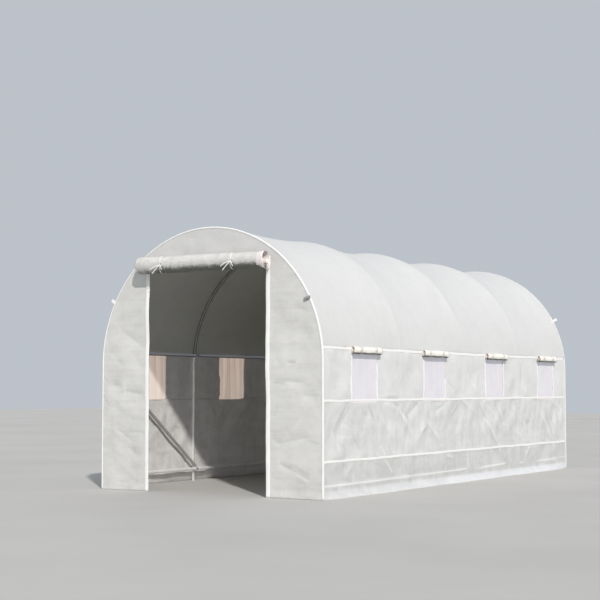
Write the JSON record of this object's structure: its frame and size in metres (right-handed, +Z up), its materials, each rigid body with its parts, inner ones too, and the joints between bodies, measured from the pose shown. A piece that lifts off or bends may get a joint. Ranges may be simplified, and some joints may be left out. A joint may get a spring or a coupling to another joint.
{
  "type": "polytunnel greenhouse",
  "caption": "Walk-in polytunnel greenhouse: arched steel hoops under a sewn sheet with netted side windows, flaps rolled up, and a door rolled up over an open doorway.",
  "frame": {"origin": "on the ground, at the middle of the footprint of everything above it, with the rolled-up door and the spread hems counted", "axes": "+X across the tunnel to the right as seen from the door, +Y along the tunnel from the door to the closed back, +Z up"},
  "size_m": [2.1102, 4.632, 1.9618],
  "materials": {
    "frame_steel": "satin galvanised and powder-coated light grey",
    "clamp_plastic": "matt moulded",
    "cover_sheet": "semi-matt woven plastic sheet with a fine reinforcing grid",
    "white_tape": "matt sewn tape",
    "window_net": "matt fine insect net",
    "rolled_sheet": "semi-matt woven plastic sheet, rolled",
    "tie_cord": "matt woven tie"
  },
  "bodies": {
    "root": {"hoop_legs": "frame_steel", "hoop_arches": "frame_steel", "ridge_rail": "frame_steel", "side_rail_left": "frame_steel", "side_rail_right": "frame_steel", "ground_rail_left": "frame_steel", "ground_rail_right": "frame_steel", "ground_rail_back": "frame_steel", "braces_left": "frame_steel", "braces_right": "frame_steel", "ridge_clamps": "clamp_plastic", "side_clamps_left": "clamp_plastic", "side_clamps_right": "clamp_plastic", "ground_clamps_left": "clamp_plastic", "ground_clamps_right": "clamp_plastic", "roof_eave_left": "cover_sheet", "roof_slope_left": "cover_sheet", "roof_crown": "cover_sheet", "roof_slope_right": "cover_sheet", "roof_eave_right": "cover_sheet", "window_band_left": "cover_sheet", "window_band_right": "cover_sheet", "lower_wall_left": "cover_sheet", "lower_wall_right": "cover_sheet", "hem_left": "cover_sheet", "hem_right": "cover_sheet", "front_panel_left": "cover_sheet", "front_panel_right": "cover_sheet", "front_panel_over_door": "cover_sheet", "back_panel": "cover_sheet", "wall_tapes_left": "white_tape", "wall_tapes_right": "white_tape", "door_tape": "white_tape", "edge_binding_front": "white_tape", "edge_binding_back": "white_tape", "guy_loops": "white_tape", "window_nets_left": "window_net", "window_nets_right": "window_net", "window_rolls_left": "rolled_sheet", "window_rolls_right": "rolled_sheet", "door_roll": "rolled_sheet", "door_ties": "tie_cord"}
  },
  "joints": []
}
